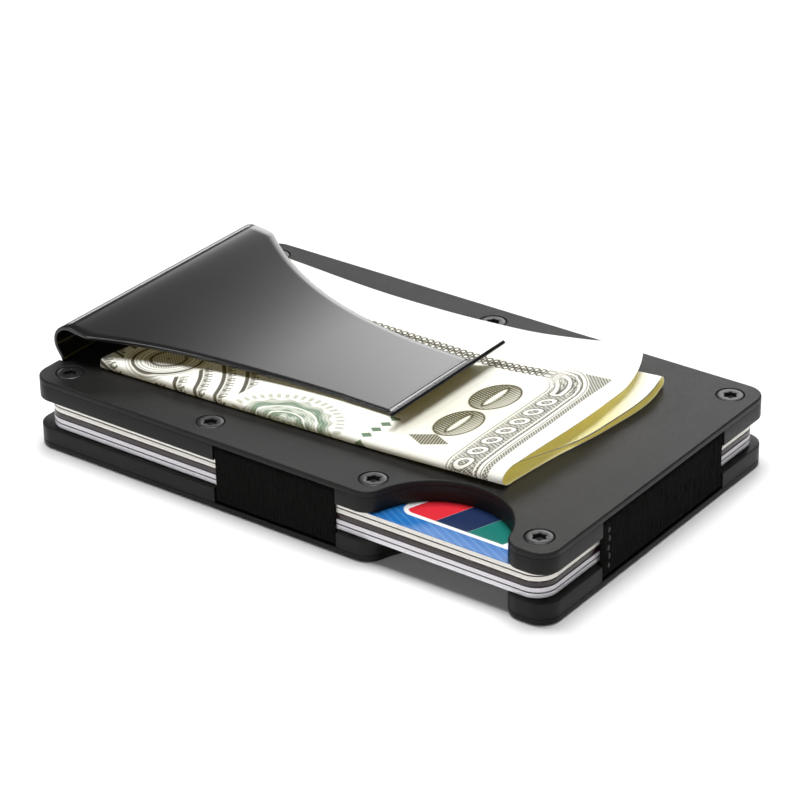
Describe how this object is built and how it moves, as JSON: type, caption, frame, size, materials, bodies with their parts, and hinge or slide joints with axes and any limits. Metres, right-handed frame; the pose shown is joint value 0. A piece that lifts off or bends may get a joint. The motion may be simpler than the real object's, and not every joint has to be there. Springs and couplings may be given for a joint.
{
  "type": "minimalist wallet",
  "caption": "Slim card wallet: two screwed aluminium half shells held by elastic straps round a stack of cards, with a spring money clip on top that pinches a folded note.",
  "frame": {"origin": "centre of the underside of the bottom cover, where the wallet rests", "axes": "+X along the length towards the strapped short end, -X to the open end with the clip's bend, -Y the long side with the thumb notch, +Z out of the face that carries the clip"},
  "size_m": [0.0894, 0.0556, 0.0163],
  "materials": {
    "shell": "satin black anodised",
    "screw": "black oxide",
    "clip": "satin black coated spring steel",
    "elastic": "woven elastic webbing",
    "card_white": "semi-gloss",
    "card_dark": "semi-gloss",
    "card_blue": "printed, gloss laminate",
    "note": "printed cotton paper"
  },
  "bodies": {
    "bottom_half": {"bottom_cover": "shell", "bottom_frame": "shell", "bottom_screw_1": "screw", "bottom_screw_2": "screw", "bottom_screw_3": "screw", "bottom_screw_4": "screw", "bottom_screw_5": "screw", "bottom_screw_6": "screw", "bottom_screw_7": "screw", "cross_strap": "elastic", "end_strap": "elastic"},
    "top_half": {"top_cover": "shell", "top_frame": "shell", "top_screw_1": "screw", "top_screw_2": "screw", "top_screw_3": "screw", "top_screw_4": "screw", "top_screw_5": "screw", "top_screw_6": "screw", "top_screw_7": "screw", "clip_base": "clip"},
    "clip_arm": {"clip_arm": "clip"},
    "card_1": {"card_1": "card_white"},
    "card_2": {"card_2": "card_white"},
    "card_3": {"card_3": "card_dark"},
    "card_4": {"card_4": "card_white"},
    "card_5": {"card_5": "card_blue"},
    "note": {"note": "note"}
  },
  "joints": [
    {"name": "expand", "type": "slide", "parent": "bottom_half", "child": "top_half", "axis": [0, 0, 1], "range_m": [0, 0.0053], "stiffness_N_per_m": 800, "springref_m": -0.002, "deforming": ["cross_strap", "end_strap"]},
    {"name": "clip_flex", "type": "hinge", "parent": "top_half", "child": "clip_arm", "pos_m": [-0.04495, 0, 0.01345], "axis": [0, -1, 0], "range_deg": [0, 6], "stiffness_Nm_per_rad": 0.5},
    {"name": "card_1_slide", "type": "slide", "parent": "bottom_half", "child": "card_1", "axis": [-1, 0, 0], "range_m": [0, 0.09]},
    {"name": "card_2_slide", "type": "slide", "parent": "bottom_half", "child": "card_2", "axis": [-1, 0, 0], "range_m": [0, 0.09]},
    {"name": "card_3_slide", "type": "slide", "parent": "bottom_half", "child": "card_3", "axis": [-1, 0, 0], "range_m": [0, 0.09]},
    {"name": "card_4_slide", "type": "slide", "parent": "bottom_half", "child": "card_4", "axis": [-1, 0, 0], "range_m": [0, 0.09]},
    {"name": "card_5_slide", "type": "slide", "parent": "bottom_half", "child": "card_5", "axis": [-1, 0, 0], "range_m": [0, 0.09]},
    {"name": "note_slide", "type": "slide", "parent": "top_half", "child": "note", "axis": [1, 0, 0], "range_m": [0, 0.06]}
  ]
}
